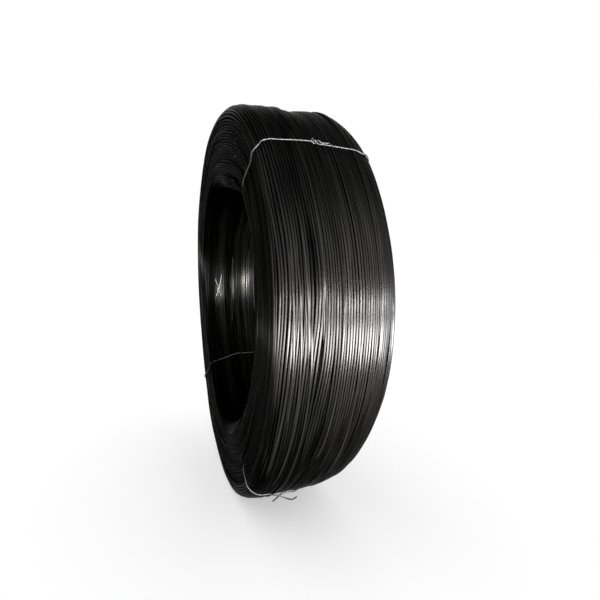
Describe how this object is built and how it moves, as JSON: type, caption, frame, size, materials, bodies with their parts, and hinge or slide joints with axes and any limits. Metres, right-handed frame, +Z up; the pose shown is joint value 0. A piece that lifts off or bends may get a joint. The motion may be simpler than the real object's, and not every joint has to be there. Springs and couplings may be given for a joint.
{
  "type": "coil of wire rod",
  "caption": "Tightly wound coil of dark steel wire standing on its rim, with an open eye and thin light wire ties around the winding.",
  "frame": {"origin": "on the floor plane, under the middle of the coil, at the middle of its width", "axes": "+X along the coil's axis towards the end with the larger rounding; +Z up; -Y towards the front, with the -X end showing the open face of the winding"},
  "size_m": [0.2714, 1.003, 1.003],
  "materials": {
    "dark_wire": "dark drawn steel with a thin oxide and a soft sheen",
    "tie_wire": "light galvanised wire"
  },
  "bodies": {
    "root": {"wire_coil": "dark_wire", "tie_upper": "tie_wire", "tie_rear": "tie_wire", "tie_lower": "tie_wire"}
  },
  "joints": []
}
